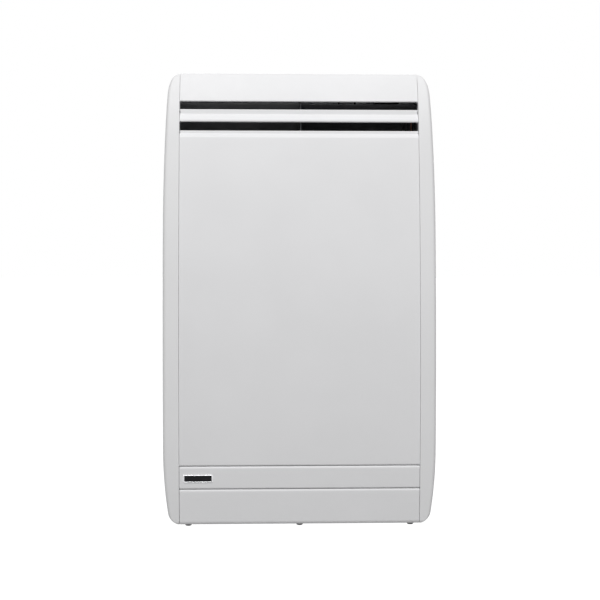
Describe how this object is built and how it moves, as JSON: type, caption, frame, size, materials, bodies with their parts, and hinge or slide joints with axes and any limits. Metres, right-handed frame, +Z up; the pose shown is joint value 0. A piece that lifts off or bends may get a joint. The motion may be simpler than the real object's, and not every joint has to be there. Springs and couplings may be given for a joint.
{
  "type": "panel convector heater",
  "caption": "Upright wall-hung electric panel convector heater with a bowed white casing, side trims, outlet slots at the top and a flap over its controls.",
  "frame": {"origin": "middle of the four wall screw holes, on the wall plane", "axes": "+X to the right as seen by a person facing the heater, +Y into the wall, +Z up"},
  "size_m": [0.4, 0.1262, 0.677],
  "materials": {
    "white_coat": "satin white powder coat",
    "white_moulding": "satin white moulded plastic",
    "galvanised": "bright zinc-coated sheet",
    "zinc_fixings": "zinc-plated",
    "black_coat": "matt black heat-proof coat",
    "grey_coat": "matt dark grey heat-proof coat",
    "aluminium": "plain extruded",
    "ceramic": "glazed off-white ceramic",
    "copper": "drawn copper",
    "brass": "turned brass",
    "black_plastic": "fine-textured black",
    "gloss_black": "polished black",
    "grey_plastic": "pale grey moulded plastic",
    "rubber_grey": "matt rubber",
    "rim_metal": "satin bright",
    "wire": "silicone-sleeved",
    "screw_dark": "dark nickel-plated"
  },
  "bodies": {
    "wall_rails": {"upper_wall_rail": "galvanised", "lower_wall_rail": "galvanised"},
    "heater": {"back_panel": "galvanised", "left_side_panel": "galvanised", "right_side_panel": "galvanised", "base_grille": "white_coat", "left_trim": "white_moulding", "right_trim": "white_moulding", "top_cap": "white_coat", "louvre_slat": "white_coat", "front_panel": "white_coat", "badge_strip": "white_coat", "lower_strip": "white_coat", "badge_plate": "gloss_black", "badge_rim": "rim_metal", "cover_screws": "screw_dark", "cover_screw_nuts": "zinc_fixings", "panel_screws": "zinc_fixings", "trim_screws": "zinc_fixings", "hanging_hooks": "galvanised", "wall_buffers": "rubber_grey", "centre_support": "black_coat", "left_air_deflector": "grey_coat", "right_air_deflector": "black_coat", "front_heat_shield": "galvanised", "rear_heat_shield": "galvanised", "heating_element": "aluminium", "element_end_caps": "ceramic", "element_brackets": "galvanised", "thermal_cutout": "black_plastic", "terminal_block": "grey_plastic", "earth_stud": "brass", "cable_gland": "black_plastic", "gland_nut": "black_plastic", "wiring_loom": "wire", "control_tray": "grey_plastic", "thermostat_body": "grey_plastic", "capillary_tube": "copper", "sensing_bulb": "copper", "bulb_clips": "zinc_fixings", "power_switch_body": "black_plastic", "heat_switch_body": "black_plastic"},
    "control_flap": {"control_flap": "white_moulding", "flap_hinge_pin": "zinc_fixings"},
    "thermostat_knob": {"thermostat_knob": "white_moulding", "thermostat_shaft": "zinc_fixings"},
    "power_rocker": {"power_rocker": "black_plastic"},
    "heat_rocker": {"heat_rocker": "black_plastic"}
  },
  "joints": [
    {"name": "heater_lift", "type": "slide", "parent": "wall_rails", "child": "heater", "axis": [0, 0, 1], "range_m": [0, 0.012]},
    {"name": "flap_hinge", "type": "hinge", "parent": "heater", "child": "control_flap", "pos_m": [0.103, -0.0246, 0.3328], "axis": [-1, 0, 0], "range_deg": [0, 95]},
    {"name": "thermostat_turn", "type": "hinge", "parent": "heater", "child": "thermostat_knob", "pos_m": [0.135, -0.043, 0.327], "axis": [0, 0, -1], "range_deg": [0, 270]},
    {"name": "power_rock", "type": "hinge", "parent": "heater", "child": "power_rocker", "pos_m": [0.062, -0.043, 0.3152], "axis": [1, 0, 0], "range_deg": [0, 20]},
    {"name": "heat_rock", "type": "hinge", "parent": "heater", "child": "heat_rocker", "pos_m": [0.086, -0.043, 0.3152], "axis": [1, 0, 0], "range_deg": [0, 20]}
  ]
}
